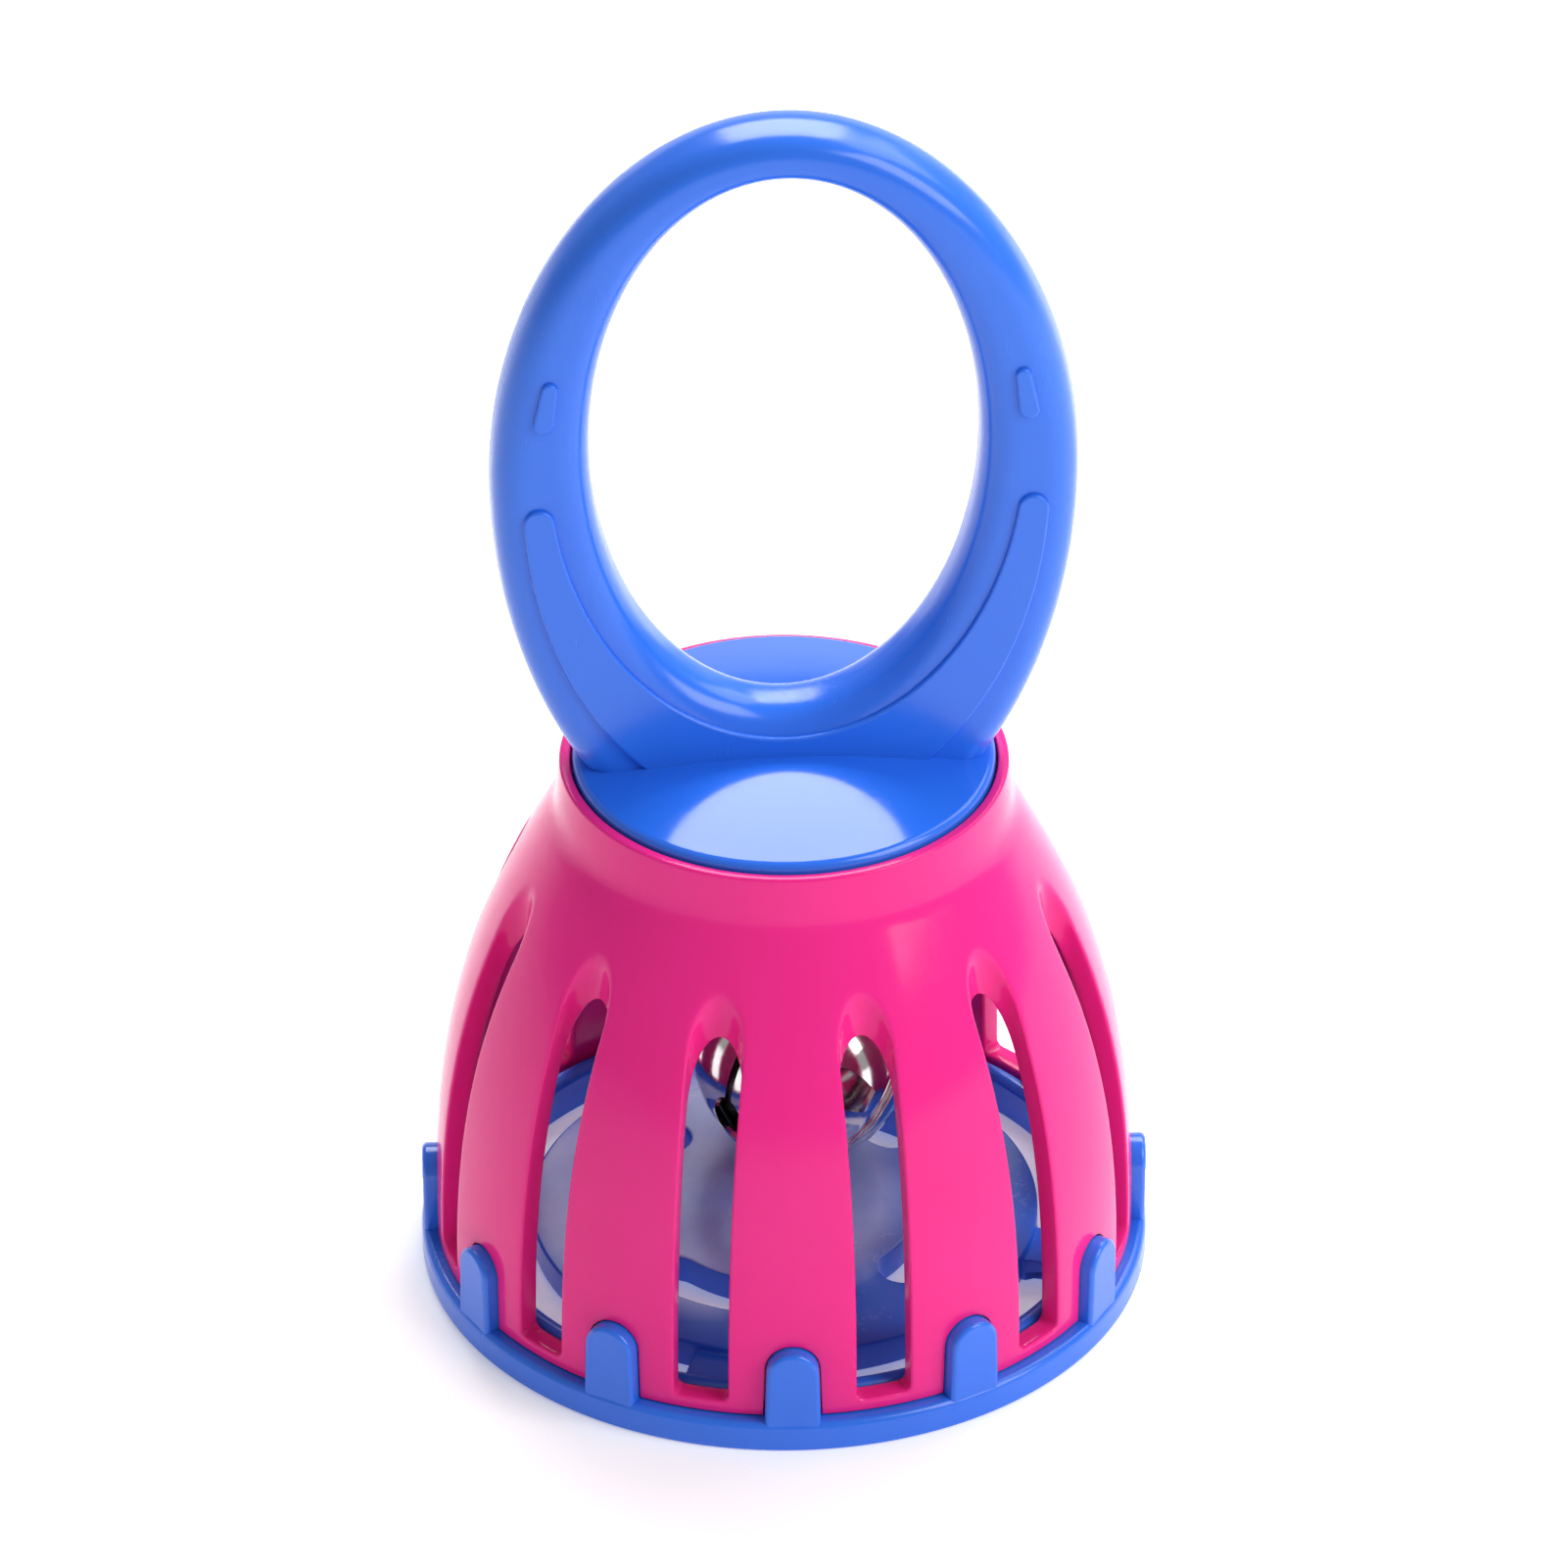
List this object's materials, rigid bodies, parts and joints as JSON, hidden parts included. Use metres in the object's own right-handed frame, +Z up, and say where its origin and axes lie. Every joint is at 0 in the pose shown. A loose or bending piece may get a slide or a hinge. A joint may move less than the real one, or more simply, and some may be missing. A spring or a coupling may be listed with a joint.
{
  "type": "baby rattle",
  "caption": "Cage rattle: a slotted dome clipped to a round base, with an oval hand ring on top and a loose jingle bell inside.",
  "frame": {"origin": "centre of the base's underside, on the surface that the rattle stands on", "axes": "+Z up along the cage's axis, from the base to the hand ring; the ring stands in the XZ plane; -Y is the front"},
  "size_m": [0.08, 0.08, 0.1419],
  "materials": {
    "blue_plastic": "glossy moulded",
    "pink_plastic": "glossy moulded",
    "chromed_steel": "polished chrome plate",
    "bare_steel": "plain ground steel"
  },
  "bodies": {
    "rattle": {"base": "blue_plastic", "cage": "pink_plastic", "handle": "blue_plastic"},
    "bell": {"bell_top_shell": "chromed_steel", "bell_bottom_shell": "chromed_steel", "bell_loop": "chromed_steel"},
    "pellet": {"bell_pellet": "bare_steel"}
  },
  "joints": [
    {"name": "bell_hop", "type": "slide", "parent": "rattle", "child": "bell", "axis": [0, 0, 1], "range_m": [0, 0.02]},
    {"name": "pellet_hop", "type": "slide", "parent": "bell", "child": "pellet", "axis": [0, 0, 1], "range_m": [0, 0.016]}
  ]
}
